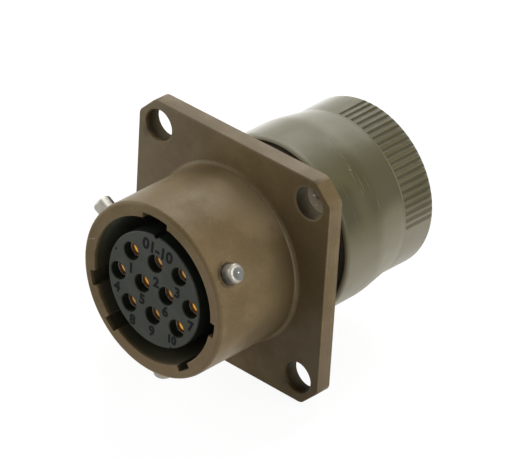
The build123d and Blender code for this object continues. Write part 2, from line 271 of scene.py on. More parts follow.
class Graph:
    """Adds shader nodes to one node tree and joins them."""

    def __init__(self, tree):
        self.tree = tree

    def node(self, kind, inputs=None, **settings):
        """A node with its settings made and its inputs set to values or joined to sockets."""
        made = self.tree.nodes.new(kind)
        for key, value in settings.items():
            setattr(made, key, value)
        for key, value in (inputs or {}).items():
            self.feed(made.inputs[key], value)
        return made

    def feed(self, socket, value):
        """Joins a socket to another one, or gives it a value."""
        if isinstance(value, bpy.types.NodeSocket):
            self.tree.links.new(value, socket)
        elif socket.type == "RGBA" and len(value) == 3:
            socket.default_value = (*value, 1.0)
        else:
            socket.default_value = value

    def math(self, operation, *values):
        """Result of a Math node."""
        return self.node("ShaderNodeMath", dict(enumerate(values)), operation=operation).outputs[0]

    def product(self, first, *others):
        """Several numbers multiplied."""
        for other in others:
            first = self.math("MULTIPLY", first, other)
        return first

    def vector(self, operation, *values):
        """Result of a Vector Math node: a number for a distance or a dot product, else a vector."""
        made = self.node("ShaderNodeVectorMath", dict(enumerate(values)), operation=operation)
        return made.outputs["Value" if operation in ("DISTANCE", "DOT_PRODUCT") else "Vector"]

    def combine(self, **parts):
        """A vector from some of its parts."""
        return self.node("ShaderNodeCombineXYZ", parts).outputs[0]

    def between(self, value, low, high, low_result=0.0, high_result=1.0):
        """Smooth step of a value between two limits."""
        inputs = {
            "Value": value, "From Min": low, "From Max": high, "To Min": low_result, "To Max": high_result
        }
        return self.node("ShaderNodeMapRange", inputs, interpolation_type="SMOOTHSTEP").outputs["Result"]

    def noise(self, vector, scale, detail=3.0, roughness=0.55):
        """Value of a Noise texture."""
        inputs = {"Vector": vector, "Scale": scale, "Detail": detail, "Roughness": roughness}
        return self.node("ShaderNodeTexNoise", inputs).outputs["Fac"]

    def mix(self, factor, first, second):
        """Colour between two colours."""
        mixer = self.node("ShaderNodeMix", data_type="RGBA")
        self.feed(mixer.inputs["Factor"], factor)
        self.feed(mixer.inputs[6], first)
        self.feed(mixer.inputs[7], second)
        return mixer.outputs[2]

    def place(self):
        """Coordinates on the object, in metres."""
        return self.node("ShaderNodeTexCoord").outputs["Object"]

    def effect(self, kind, *values):
        """Outputs of a shared effect, with its inputs given in their order."""
        made = self.node("ShaderNodeGroup", node_tree=shared_effect(kind))
        for socket, value in zip(made.inputs, values):
            self.feed(socket, value)
        return made.outputs


def mottle(graph, given):
    """Uneven plating: broad patches with a fine grain over them."""
    place = graph.place()
    broad = graph.between(graph.noise(place, given["Patch scale"], 4.0, 0.6), 0.36, 0.64)
    grain = graph.between(graph.noise(place, given["Grain scale"], 2.0, 0.5), 0.3, 0.7)
    kept = graph.product(broad, graph.math("SUBTRACT", 1.0, given["Grain share"]))
    factor = graph.math("ADD", kept, graph.product(grain, given["Grain share"]))
    return [graph.mix(factor, given["Light"], given["Dark"]), grain, broad]


def wear(graph, given):
    """Edges that handling has rubbed, broken up by a fine noise."""
    rounded = graph.node("ShaderNodeBevel", {"Radius": given["Radius"]}, samples=4).outputs["Normal"]
    flat = graph.node("ShaderNodeNewGeometry").outputs["Normal"]
    unlike = graph.math("SUBTRACT", 1.0, graph.vector("DOT_PRODUCT", rounded, flat))
    bend = graph.between(unlike, 0.01, given["Reach"])
    return [graph.product(bend, graph.between(graph.noise(graph.place(), 1800.0, 4.0, 0.7), 0.35, 0.7))]


def specks(graph, given):
    """Sparse specks of dust and small nicks."""
    cells = graph.node("ShaderNodeTexVoronoi", {"Vector": graph.place(), "Scale": given["Scale"]}).outputs
    chance = graph.node("ShaderNodeSeparateColor", {0: cells["Color"]}).outputs[0]
    chosen = graph.math("LESS_THAN", chance, given["Share"])
    return [graph.product(chosen, graph.between(cells["Distance"], 0.0, given["Size"], 1.0, 0.0))]


def turning(graph, given):
    """Fine rings that a lathe tool leaves round the connector's axis."""
    stretch = graph.combine(X=given["Spread"], Y=given["Scale"], Z=given["Spread"])
    return [graph.noise(graph.vector("MULTIPLY", graph.place(), stretch), 1.0, 3.0, 0.6)]


def scratches(graph, given):
    """Thin broken scratches that run round the connector's axis."""
    place = graph.place()
    stretch = graph.combine(X=90.0, Y=given["Scale"], Z=90.0)
    lines = graph.noise(graph.vector("MULTIPLY", place, stretch), 1.0, 2.0, 0.5)
    gaps = graph.between(graph.noise(place, 420.0, 3.0, 0.6), 0.48, 0.62)
    return [graph.product(graph.between(lines, given["Share"], 0.80), gaps)]


def blot(graph, given):
    """One mark at a place on the piece, with a ragged rim."""
    place = graph.place()
    away = graph.vector("DISTANCE", place, given["Middle"])
    ragged = graph.product(graph.noise(place, 2600.0, 3.0, 0.6), given["Softness"])
    reach = graph.math("ADD", given["Radius"], given["Softness"])
    return [graph.between(graph.math("ADD", away, ragged), given["Radius"], reach, 1.0, 0.0)]


# Effects that materials share: how each is made, its group's name, inputs and outputs
effect_makers = {
    "mottle": (mottle, "Plating mottle", {
        "Light": (0.5, 0.5, 0.5, 1.0), "Dark": (0.3, 0.3, 0.3, 1.0),
        "Patch scale": 300.0, "Grain scale": 9000.0, "Grain share": 0.3,
    }, ("Colour", "Height", "Patches")),
    "wear": (wear, "Rubbed edges", {"Radius": 0.1 * MM, "Reach": 0.25}, ("Mask",)),
    "specks": (specks, "Dust specks", {"Scale": 900.0, "Share": 0.05, "Size": 0.12}, ("Mask",)),
    "turning": (turning, "Turning rings", {"Scale": 9000.0, "Spread": 60.0}, ("Height",)),
    "scratches": (scratches, "Ring scratches", {"Scale": 2200.0, "Share": 0.66}, ("Mask",)),
    "spot": (
        blot, "Spot", {"Middle": (0.0, 0.0, 0.0), "Radius": 0.3 * MM, "Softness": 0.1 * MM}, ("Mask",)
    ),
}
effects = {}


def shared_effect(kind):
    """The node group of an effect, made the first time that it is asked for."""
    if kind not in effects:
        make, name, inputs, outputs = effect_makers[kind]
        tree = effects[kind] = bpy.data.node_groups.new(name, "ShaderNodeTree")
        for socket, default in inputs.items():
            shape = "Float"
            if isinstance(default, tuple):
                shape = "Color" if len(default) == 4 else "Vector"
            made = tree.interface.new_socket(socket, in_out="INPUT", socket_type=f"NodeSocket{shape}")
            made.default_value = default
        for socket in outputs:
            shape = "Color" if socket == "Colour" else "Float"
            tree.interface.new_socket(socket, in_out="OUTPUT", socket_type=f"NodeSocket{shape}")
        graph = Graph(tree)
        results = make(graph, graph.node("NodeGroupInput").outputs)
        graph.node("NodeGroupOutput", dict(zip(outputs, results)))
    return effects[kind]


class Shade(typing.NamedTuple):
    """A colour laid over a region; with a sharpness, a painted sheen only where the surface is seen at a low
    angle.
    """

    colour: object
    strength: float
    region: tuple
    sharpness: float = None
    roughness: float = None


class Coat(typing.NamedTuple):
    """A finish: its light and dark colour, its shine and bump, and the shades laid over it in order.

    A colour is given by its property's name, the dark one also as a share of the light one. Patch and grain
    are noise scales, bump is in millimetres, rings are the scale, spread and share of the tool marks, and
    dull is a region and the share of its reflection that is lost.
    """

    light: str
    dark: object
    roughness: tuple
    metallic: float = 0.0
    specular: float = 0.5
    patch: float = 900.0
    grain: float = 9000.0
    grain_share: float = 0.3
    bump: float = 0.002
    rings: tuple = None
    dull: tuple = None
    regions: dict = {}
    shades: dict = {}


def spot(place, radius, softness):
    """Part of a region: a spot, given in millimetres."""
    return ("spot", tuple(part * MM for part in place), radius * MM, softness * MM)


def marks(name, radius, softness, tint, strength=1.0, *within):
    """Shades for the small marks of one name, each at its own place."""
    return {
        f"{name}_{number}": Shade(tint, strength, (spot(place, radius, softness), *within))
        for number, place in enumerate(places[name], 1)
    }


def plastic(light, regions={}, shades={}, dull=None):
    """Coat of moulded plastic: dull, faintly clouded, with a little dust."""
    return Coat(
        light, 0.86, (0.50, 0.60), specular=0.25, patch=420.0, grain=12000.0, bump=0.003, dull=dull,
        regions=regions,
        shades={
            "dust": Shade((0.30, 0.30, 0.28), 0.4, (("specks", 1500.0, 0.04, 0.12),)),
            "rubbed_edges": Shade((0.2, 0.2, 0.19), 0.3, (("wear", 0.06 * MM, 0.3),)),
            **shades,
        },
    )


def metal(light, dark, roughness, lines=0.5, bump=0.0015, metallic=1.0, shades={}):
    """Coat of bare or plated metal, with fine tool marks round the axis."""
    rings = (12000.0, 200.0, lines)
    return Coat(light, dark, roughness, metallic, grain=14000.0, bump=bump, rings=rings, shades=shades)


def plated_gold(light, metallic, stripes):
    """Coat of a contact's gold, with darker stripes along it."""
    return metal(light, 0.85, (0.16, 0.26), 0.4, 0.001, metallic, {
        "stripes": Shade(stripes, 0.8, (("stripes", 9000.0, 1.0, 0.46, 0.56),)),
    })


def rubber(light):
    """Coat of dull rubber with a light bloom."""
    dust = Shade((0.16, 0.16, 0.15), 0.4, (("specks", 1200.0, 0.08, 0.14),))
    return Coat(light, 0.7, (0.62, 0.78), patch=500.0, bump=0.005, shades={"dust": dust})


# The parts of a region are explained at Finish.made
shell_coat = Coat(
    "shell_light", "shell_dark", (0.44, 0.54), specular=0.18, patch=230.0, grain=7000.0, grain_share=0.45,
    bump=0.004, rings=(7000.0, 50.0, 0.35), dull=("hole", 0.9),
    regions={
        "front_barrel": (("radius", ">", 9.3), ("Y", "<", -2.2)),
        "lower_right": (("Z", 0.0, -3.0), ("Y", -11.0, -7.0)),
        "right": (("X", 0.0, 4.0),),
        "root": (("Y", -8.0, -3.5), ("Y", -2.35, -2.5), "front_barrel"),
        "front_face": (("Y", "at", -2.0, 0.02, 0.08),),
        "right_edge": (("X", 12.8, 13.0),),
        "rim": (("Y", "<", -12.95),),
        "bore": (("radius", "<", 8.7), ("Y", -13.0, -12.45)),
        "hole": (("from_hole", "<", 1.76),),
        "upper_right": (("X", ">", 0.0), ("Z", ">", 0.0)),
    },
    shades={
        # Painted sheen where the shell is seen at a low angle, left out low on the right
        "low_angle": Shade((0.42, 0.35, 0.24), 0.30, (("except", "lower_right", 1.0),), 3.0),
        # Painted pale sheen on the left of the front barrel, where it is seen at a low angle
        "left_haze": Shade(
            (0.72, 0.68, 0.60), 0.70, ("front_barrel", ("X", -1.0, -6.0), ("Y", -5.0, -12.0)), 7.4
        ),
        "root_shadow": Shade((0.090, 0.062, 0.027), 0.80, ("root", "right", ("Z", 6.5, 3.0))),
        # Painted light on the top of the barrel next to the flange
        "root_light": Shade((0.410, 0.310, 0.180), 0.70, ("root", ("X", -2.0, 1.5), ("Z", 5.0, 7.5))),
        "low_shadow": Shade((0.105, 0.078, 0.040), 0.65, ("lower_right", "front_barrel", "right")),
        # Painted highlight in a broken line round the flange root on the right
        "root_line": Shade((0.320, 0.265, 0.185), 0.55, (
            ("Y", "at", -2.30, 0.03, 0.12), "right", ("Z", -5.0, 5.0, 0.30, 1.4),
            ("noise", 700.0, 0.35, 0.60, 0.4, 1.0),
        )),
        # Painted shade on the neck in the gap between the flange and the endbell
        "neck": Shade((0.122, 0.102, 0.074), 0.85, (("radius", "<", 8.9), ("Y", ">", 0.02))),
        # Painted shadow of the barrel on the right of the flange's front face, and painted light on its left
        "face_right": Shade((0.072, 0.054, 0.026), 0.50, ("front_face", ("X", 0.0, 12.0))),
        "face_left": Shade((0.280, 0.265, 0.210), 0.22, ("front_face", ("X", 0.0, -12.0))),
        **marks("neck_dark", 0.16, 0.55, (0.026, 0.024, 0.017), 0.8),
        # Pale spots on the neck, seen through the upper right flange hole
        **marks("neck_pale_spots", 0.05, 0.12, (0.52, 0.48, 0.40)),
        # Painted shade: the flange's right edge darker towards the bottom
        "edge_low": Shade((0.120, 0.094, 0.066), 0.4, ("right_edge", ("Z", 2.0, -12.0))),
        "edge_lines": Shade((0.105, 0.080, 0.050), 0.60, (
            ("stripes", 4200.0, 2.0, 0.44, 0.60), "right_edge"
        )),
        # Painted light on the flange's top edge
        "edge_top": Shade((0.330, 0.300, 0.240), 0.18, (("Z", 12.8, 13.0),)),
        # Painted light and shade on the rim's front face: lighter towards the lower right and low down,
        # darker on the left
        "rim_right": Shade((0.270, 0.190, 0.105), 0.5, ("rim", ("slope", -2.0, 12.0))),
        "rim_left": Shade((0.120, 0.085, 0.040), 0.30, ("rim", ("X", -6.5, -9.0))),
        "rim_low": Shade((0.300, 0.205, 0.105), 0.25, ("rim", ("Z", -4.5, -8.5))),
        **marks("barrel_stains", 0.1, 1.5, (0.055, 0.040, 0.022), 0.40),
        # Painted shade round the foot of each pin
        **marks("pin_bases", 1.20, 0.50, (0.040, 0.026, 0.019), 0.9),
        **marks("copper_chips", 0.05, 0.13, (0.46, 0.32, 0.18)),
        **marks("pale_chips", 0.03, 0.09, (0.52, 0.46, 0.36)),
        **marks("rim_nick", 0.04, 0.09, (0.75, 0.68, 0.52)),
        "dust": Shade("shell_worn", 0.55, (("specks", 1100.0, 0.05, 0.13),)),
        "rubbed_edges": Shade("shell_worn", 0.6, (("wear", 0.12 * MM, 0.22),), roughness=0.42),
        # Painted shade deep in the front bore
        "bore": Shade("shell_bore", 0.95, ("bore",), roughness=0.7),
        **marks("keyway_rust", 0.12, 0.25, (0.170, 0.105, 0.055), 0.8),
        # The painted bore shade, lighter and greener towards the top near the mouth
        "bore_roof": Shade((0.200, 0.215, 0.155), 0.95, ("bore", ("Z", -0.5, 5.0), ("Y", -12.95, -11.5))),
        "hole_mouth": Shade((0.240, 0.175, 0.115), 0.35, (("from_hole", 2.05, 1.92), "upper_right")),
        # Darker patches on the flange's front beside the upper left and lower right holes
        **marks("dark_beside_holes", 0.5, 1.3, (0.048, 0.040, 0.021), 0.6),
        # Painted shade inside the flange holes; lighter near the rear, and near the front except in the upper
        # right hole
        "hole_wall": Shade((0.048, 0.040, 0.025), 0.88, ("hole",)),
        "hole_entry": Shade(
            (0.200, 0.135, 0.065), 0.8, ("hole", ("Y", -1.40, -1.85), ("except", "upper_right", 1.0))
        ),
        "hole_rear": Shade((0.074, 0.058, 0.034), 0.6, ("hole", ("Y", -1.3, -0.1))),
        "hole_patches": Shade((0.070, 0.058, 0.037), 0.7, ("hole", ("noise", 900.0, 0.50, 0.66))),
        **marks("hole_tarnish", 0.9, 0.8, (0.105, 0.108, 0.078), 0.7, "hole"),
        **marks("hole_glow", 1.0, 0.9, (0.150, 0.140, 0.092), 0.55, "hole"),
        "worn_lip": Shade("shell_worn", 0.7, (
            ("radius", 8.16, 8.0), ("Y", "<", -12.98), ("noise", 900.0, 0.35, 0.6)
        )),
    },
)
endbell_coat = Coat(
    "endbell_light", "endbell_dark", (0.36, 0.44), specular=0.20, patch=170.0, grain=6000.0, grain_share=0.2,
    rings=(5000.0, 30.0, 0.6),
    regions={
        "under": (("Z", 4.5, -4.0),),
        "fluted": (("Y", 14.5, 14.8), ("X", 0.5, 4.0)),
        "front": (("Y", 5.6, 5.25),),
    },
    shades={
        # Painted sheens where the endbell is seen at a low angle: weaker underneath, stronger over the top
        # and on the left
        "low_angle": Shade((0.60, 0.565, 0.425), 0.60, (("except", "under", 0.4, "fluted", 0.4),), 2.4),
        "low_angle_under": Shade((0.52, 0.48, 0.38), 0.20, ("under",), 1.0),
        "low_angle_top": Shade((0.86, 0.85, 0.78), 0.90, (("Z", 0.0, 7.0),), 4.6),
        "low_angle_left": Shade((0.95, 0.95, 0.92), 0.80, (("X", -2.5, -6.0),), 4.0),
        # Painted shade: a darker band over the middle of the endbell
        "middle": Shade((0.064, 0.056, 0.021), 0.74, (
            ("Y", 7.0, 10.0), ("Y", 14.8, 14.5), ("Z", 2.5, 4.5), ("X", 1.5, 7.5)
        )),
        # Painted shade over the upper flutes
        "flutes_top": Shade((0.075, 0.066, 0.027), 0.35, ("fluted", ("Z", 5.5, 8.5))),
        # Painted reflection: paler low on the rear of the endbell
        "tail": Shade((0.62, 0.60, 0.52), 0.40, (("Y", 14.3, 15.3), ("Z", -1.5, -6.0))),
        # Painted shade on the upper front of the endbell
        "front_right": Shade((0.058, 0.051, 0.019), 0.85, (
            ("Z", 2.5, 4.5), ("Z", 8.0, 6.5), ("Y", 9.0, 7.0)
        )),
        **marks("bell_sheen", 0.4, 2.6, (0.30, 0.28, 0.20), 0.30),
        # Painted light: a paler band low on the endbell, stronger towards the rear
        "low": Shade((0.34, 0.31, 0.24), 1.0, (
            ("Z", 3.5, -0.5), ("Z", -7.5, -2.0), ("Y", 13.5, 15.0, 0.32, 0.56)
        )),
        # Painted shade along the rear edge, on the upper right
        "rear_edge": Shade((0.040, 0.042, 0.026), 0.6, (
            ("Y", 18.75, 19.0), ("Z", 1.0, 2.5), ("X", 3.0, 5.0)
        )),
        "crest": Shade((0.30, 0.28, 0.20), 0.40, (
            ("Y", "at", 14.62, 0.03, 0.12), ("Z", 1.5, 4.0), ("Z", 9.0, 7.0)
        )),
        # Painted shade and dirt in the bottoms of the flutes
        "in_flutes": Shade((0.066, 0.056, 0.024), 0.55, (
            ("Y", ">", 14.6), ("radius", ">", 8.9), ("radius", 9.38, 9.26)
        )),
        # Painted highlight on the front edge's rounding, strongest on the left
        "front_left": Shade((0.62, 0.60, 0.48), 0.9, ("front", ("X", 6.5, 1.5, 0.12, 1.0))),
        # Painted shade on the inner part of the front face, which faces the flange
        "front_inner": Shade((0.050, 0.043, 0.025), 1.0, ("front", ("radius", 9.66, 9.55))),
        "ring_scratches": Shade("endbell_worn", 0.5, (("scratches", 2400.0, 0.66),), roughness=0.3),
        **{
            f"scratch_{number}": Shade("endbell_worn", 0.45, (
                ("Y", "at", middle[1], 0.02, 0.05),
                spot(middle, scratch_solid * reach, (1 - scratch_solid) * reach),
            ))
            for number, (*middle, reach) in enumerate(bell_scratches, 1)
        },
        **marks("bell_nicks", 0.05, 0.12, (0.48, 0.46, 0.35)),
        "dust": Shade("endbell_worn", 0.4, (("specks", 800.0, 0.04, 0.12),)),
        "rubbed_edges": Shade("endbell_worn", 0.3, (("wear", 0.10 * MM, 0.3),)),
    },
)
pin_coat = Coat(
    "steel", 0.82, (0.38, 0.50), 0.85, rings=(12000.0, 200.0, 0.3),
    regions={"left_pin": (("X", "<", -6.0),)},
    shades={
        # Painted shade round each pin's foot
        **marks("pin_bases", 0.95, 0.25, (0.060, 0.050, 0.038), 0.7),
        # Painted shade on the side of one pin
        **marks("painted_shade_pin_side", 0.70, 0.8, (0.090, 0.092, 0.076), 0.75),
        # Painted shade over the pins' end faces
        **marks("painted_shade_pin_ends", 0.70, 0.28, (0.075, 0.080, 0.074), 0.9),
        **marks("pin_glint", 0.06, 0.08, (0.95, 0.95, 0.93)),
        # Painted highlight in a stripe along the left pin, and painted shade beside it
        "shine": Shade((0.92, 0.90, 0.82), 0.85, (("across_pin", "at", -7.78, 0.04, 0.27), "left_pin")),
        "shadow": Shade((0.075, 0.078, 0.068), 0.85, (("across_pin", -7.55, -7.27), "left_pin")),
    },
)
coats = {
    "brown_plating": shell_coat,
    "olive_finish": endbell_coat,
    "pin_steel_finish": pin_coat,
    # Insert plastic with painted shade behind its face, in its holes and on its sides
    "insert_plastic": plastic(
        "insert_grey", {"deep": (("Y", -12.78, -12.6),)},
        {"deep": Shade("insert_deep", 0.95, ("deep",), roughness=0.75)}, ("deep", 0.85)
    ),
    "rear_plastic": plastic("body_plastic"),
    "number_ink": Coat("insert_ink", 2.0, (0.6, 0.75), specular=0.1, patch=2500.0, grain=12000.0),
    "contact_gold_plate": plated_gold("gold", 0.7, (0.20, 0.09, 0.02)),
    # Brighter gold, a painted highlight
    "contact_gold_clean": plated_gold("gold_clean", 0.8, (0.60, 0.27, 0.04)),
    "hood_sleeve": metal("hood", 0.8, (0.20, 0.30), 0.4, 0.001, 0.5, {
        "lip": Shade((0.95, 0.88, 0.76), 0.85, (("Y", "<", hood_lip),)),
    }),
    "clip_alloy": metal("spring", 0.75, (0.3, 0.42)),
    "ring_steel": metal("steel", 0.8, (0.3, 0.4)),
    "follower_aluminium": metal("aluminium", 0.82, (0.36, 0.48), 0.9, 0.003),
    "grommet_rubber": rubber("grommet"),
    "seal_black": rubber("seal"),
}


class Finish:
    """One material on its way: a colour and roughness that shades are laid over in turn."""

    def __init__(self, name):
        self.material = bpy.data.materials.new(name)
        self.material.use_nodes = True
        self.graph = Graph(self.material.node_tree)
        coat = self.coat = coats[name]
        self.colours = bpy.context.scene.connector_colours
        self.place = self.graph.place()
        self.lengths = {}
        self.masks = {}
        light, dark = self.tint(coat.light), coat.dark
        dark = self.tint(dark) if isinstance(dark, str) else tuple(dark * part for part in light)
        plating = self.graph.effect("mottle", light, dark, coat.patch, coat.grain, coat.grain_share)
        self.colour = plating["Colour"]
        self.height = plating["Height"]
        self.roughness = self.graph.between(plating["Patches"], 0.0, 1.0, *coat.roughness)

    def tint(self, given):
        """A colour, which may be given by its property's name."""
        return tuple(getattr(self.colours, given)) if isinstance(given, str) else given

    def measured(self, name):
        """A length on the surface: X, Y, Z, their slope, or the way from an axis or across the left pin."""
        graph = self.graph
        if name in "XYZ":
            return graph.node("ShaderNodeSeparateXYZ", {0: self.place}).outputs[name]
        if name == "slope":
            return graph.math("SUBTRACT", self.length_of("X"), self.length_of("Z"))
        if name == "across_pin":
            return graph.vector("DOT_PRODUCT", self.place, across_left_pin)
        flat = graph.vector("MULTIPLY", graph.vector("ABSOLUTE", self.place), (1.0, 0.0, 1.0))
        return graph.vector("DISTANCE", flat, hole_middle if name == "from_hole" else (0.0, 0.0, 0.0))

    def length_of(self, name):
        """A measured length, made once."""
        if name not in self.lengths:
            self.lengths[name] = self.measured(name)
        return self.lengths[name]

    def made(self, kind, *values):
        """Mask of one part of a region, with lengths in millimetres.

        ("except", region, share, ...) is 1 less the shares of regions; ("noise", scale, limits) and
        ("stripes", scale, detail, limits) are noise all over and along Y, ("wear", ...), ("specks", ...),
        ("scratches", ...) and ("spot", ...) are effects. The others start with a length's name: (name, "<" or
        ">", limit), (name, "at", middle, solid, reach) and (name, place of 0, place of 1, other results).
        """
        graph = self.graph
        if kind == "except":
            rest = 1.0
            for region, share in zip(values[::2], values[1::2]):
                rest = graph.math("SUBTRACT", rest, graph.product(self.mask(region), share))
            return rest
        if kind == "noise":
            return graph.between(graph.noise(self.place, values[0]), *values[1:])
        if kind == "stripes":
            along = graph.combine(Y=self.length_of("Y"))
            return graph.between(graph.noise(along, *values[:2]), *values[2:])
        if kind in effect_makers:
            return graph.effect(kind, *values)["Mask"]
        value = self.length_of(kind)
        first, second, *rest = values
        if first == "<":
            return graph.math("LESS_THAN", value, second * MM)
        if first == ">":
            return graph.math("GREATER_THAN", value, second * MM)
        if first == "at":
            off_line = graph.math("ABSOLUTE", graph.math("SUBTRACT", value, second * MM))
            return graph.between(off_line, rest[0] * MM, rest[1] * MM, 1.0, 0.0)
        low, high = rest or (0.0, 1.0)
        if first > second:
            first, second, low, high = second, first, high, low
        return graph.between(value, first * MM, second * MM, low, high)

    def mask(self, part):
        """Mask of one part of a region or of a named region, made once."""
        if part not in self.masks:
            named = isinstance(part, str)
            self.masks[part] = self.region(self.coat.regions[part]) if named else self.made(*part)
        return self.masks[part]

    def region(self, parts):
        """Mask of a region: where all its parts are."""
        return self.graph.product(*[self.mask(part) for part in parts])

    def lay(self, shade):
        """Lays a shade over the finish."""
        graph = self.graph
        mask = self.region(shade.region)
        # A sharpness makes the shade a painted sheen, strongest where the surface is seen at a low angle
        if shade.sharpness is not None:
            facing = graph.node("ShaderNodeLayerWeight", {"Blend": 0.5}).outputs["Facing"]
            mask = graph.product(graph.math("POWER", facing, shade.sharpness), mask)
        factor = graph.product(mask, shade.strength)
        self.colour = graph.mix(factor, self.colour, self.tint(shade.colour))
        if shade.roughness is not None:
            mixed = {"Factor": factor, 2: self.roughness, 3: shade.roughness}
            self.roughness = graph.node("ShaderNodeMix", mixed, data_type="FLOAT").outputs[0]

    def done(self):
        """Joins everything to the shader."""
        graph, coat = self.graph, self.coat
        specular, height = coat.specular, self.height
        if coat.dull:
            region, share = coat.dull
            kept = graph.math("SUBTRACT", 1.0, graph.product(self.mask(region), share))
            specular = graph.product(kept, specular)
        if coat.rings:
            scale, spread, share = coat.rings
            lines = graph.effect("turning", scale, spread)["Height"]
            height = graph.math("MULTIPLY_ADD", lines, share, height)
        bump = graph.node("ShaderNodeBump", {"Strength": 1.0, "Distance": coat.bump * MM, "Height": height})
        shader = self.material.node_tree.nodes["Principled BSDF"]
        for socket, value in {
            "Base Color": self.colour, "Metallic": coat.metallic, "Roughness": self.roughness,
            "Specular IOR Level": specular, "Normal": bump.outputs["Normal"],
        }.items():
            graph.feed(shader.inputs[socket], value)
        return self.material


def make_finish(name):
    """Material of a coat, with all its shades laid over it."""
    finish = Finish(name)
    for shade in coats[name].shades.values():
        finish.lay(shade)
    return finish.done()


def placed(name, data):
    """A new object in the scene."""
    item = bpy.data.objects.new(name, data)
    bpy.context.scene.collection.objects.link(item)
    return item


def empty_graph(owner):
    """Graph of a material or world, whose own nodes are cleared."""
    owner.use_nodes = True
    owner.node_tree.nodes.clear()
    return Graph(owner.node_tree)


def set_material(item, material):
    """Gives an object one material, in its own slots."""
    item.data.materials.clear()
    item.data.materials.append(material)


def dress_nodes(material, *nodes):
    """Gives CAD nodes a material through their objects' own slots, with their meshes as they are."""
    for name in nodes:
        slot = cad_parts[name].material_slots[0]
        slot.link = "OBJECT"
        slot.material = material


def welded_copy(node):
    """A CAD node's shape, its loose triangles welded and its flat faces made whole."""
    shape = bmesh.new()
    shape.from_mesh(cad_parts[node].data)
    bmesh.ops.remove_doubles(shape, verts=shape.verts, dist=WELD)
    bmesh.ops.dissolve_limit(shape, angle_limit=math.radians(flat_join), verts=shape.verts, edges=shape.edges)
    return shape


def new_piece(name, shape, material, body, nodes=(), sharp=sharp_edge):
    """Makes a piece from a bmesh, with its finish and shading, its body, and the nodes that it replaces."""
    bmesh.ops.recalc_face_normals(shape, faces=shape.faces)
    data = bpy.data.meshes.new(name)
    shape.to_mesh(data)
    shape.free()
    if "custom_normal" in data.attributes:
        data.attributes.remove(data.attributes["custom_normal"])
    item = placed(name, data)
    set_material(item, material)
    data.shade_smooth()
    data.set_sharp_from_angle(angle=math.radians(sharp))
    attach(item, body)
    if nodes:
        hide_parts(*nodes)
    return item


def break_edges(item, width):
    """Rounds a piece's sharp edges a little, and shades its flat faces flat."""
    rounding = item.modifiers.new("Broken edges", "BEVEL")
    rounding.width = width
    rounding.segments = edge_segments
    rounding.limit_method = "ANGLE"
    rounding.angle_limit = math.radians(sharp_edge)
    rounding.harden_normals = True
    even = item.modifiers.new("Flat faces", "WEIGHTED_NORMAL")
    even.keep_sharp = True


def remade_node(name, node, material, body, width):
    """Makes a CAD node again, as a piece with a finish and rounded edges."""
    break_edges(new_piece(name, welded_copy(node), material, body, [node]), width)


def helix_ridge(root, crest, pitch, front, rear):
    """Thread ridge round the axis, cut off square at both ends."""
    shape = bmesh.new()
    half_root = pitch * root_share
    half_crest = pitch * crest_share
    start = front - pitch
    turns = math.ceil((rear - front) / pitch) + 2
    section = [(root, -half_root), (crest, -half_crest), (crest, half_crest), (root, half_root)]
    points = [shape.verts.new((0.0, start + y, radius)) for radius, y in section]
    shape.faces.new(points)
    bmesh.ops.spin(
        shape, geom=shape.verts[:] + shape.edges[:] + shape.faces[:], cent=(0, 0, 0), axis=(0, 1, 0),
        dvec=(0, pitch / thread_steps, 0), angle=turns * FULL_TURN, steps=turns * thread_steps,
        use_merge=False,
    )
    for station, side in ((front, -1), (rear, 1)):
        bmesh.ops.bisect_plane(
            shape, geom=shape.verts[:] + shape.edges[:] + shape.faces[:], dist=CUT,
            plane_co=(0, station, 0), plane_no=(0, side, 0), clear_outer=True,
        )
        bmesh.ops.holes_fill(shape, edges=[edge for edge in shape.edges if edge.is_boundary], sides=0)
    return shape


def spun(section):
    """Full turn of a section round the Z axis, closed where it meets the axis."""
    shape = bmesh.new()
    points = [shape.verts.new(point) for point in section]
    for first, second in zip(points, points[1:]):
        shape.edges.new((first, second))
    bmesh.ops.spin(
        shape, geom=shape.verts[:] + shape.edges[:], cent=(0, 0, 0), axis=(0, 0, 1), angle=FULL_TURN,
        steps=pin_steps, use_merge=True,
    )
    bmesh.ops.remove_doubles(shape, verts=shape.verts, dist=WELD)
    return shape


def joined(shapes):
    """One bmesh from several, which are freed."""
    whole = bmesh.new()
    passing = bpy.data.meshes.new("passing")
    for shape in shapes:
        shape.to_mesh(passing)
        whole.from_mesh(passing)
        shape.free()
    bpy.data.meshes.remove(passing)
    return whole


def turn_to_pin(shape, turn, sizes):
    """Moves a shape made along Z to the place of the pin at an angle."""
    place = Matrix.Rotation(math.radians(turn), 4, "Y") @ Matrix.Translation((0, sizes.pin_station, 0))
    bmesh.ops.transform(shape, matrix=place, verts=shape.verts)


class CONNECTOR_OT_shell(bpy.types.Operator):
    """Finishes the flanged shell with broken edges and brown plating"""

    bl_idname = "connector.shell"
    bl_label = "Receptacle shell"

    def execute(self, context):
        plating = make_finish("brown_plating")
        width = context.scene.connector_sizes.edge_break
        remade_node("plated_shell", "receptacle_shell", plating, "receptacle", width)
        return {"FINISHED"}


class CONNECTOR_OT_rear_thread(bpy.types.Operator):
    """Cuts the fine thread on the shell's rear barrel"""

    bl_idname = "connector.rear_thread"
    bl_label = "Rear thread"

    def execute(self, context):
        sizes = context.scene.connector_sizes
        root = sizes.thread_radius - thread_depth_share * sizes.thread_pitch
        shape = helix_ridge(
            root - thread_sink, sizes.thread_radius, sizes.thread_pitch, sizes.thread_front, sizes.thread_rear
        )
        for vert in shape.verts:
            radius = math.hypot(vert.co.x, vert.co.z)
            most = root - sizes.thread_chamfer + (sizes.thread_rear - vert.co.y)
            if radius > most:
                vert.co.x *= most / radius
                vert.co.z *= most / radius
        plating = bpy.data.materials["brown_plating"]
        new_piece("rear_thread", shape, plating, "receptacle", sharp=sharp_small_edge)
        return {"FINISHED"}


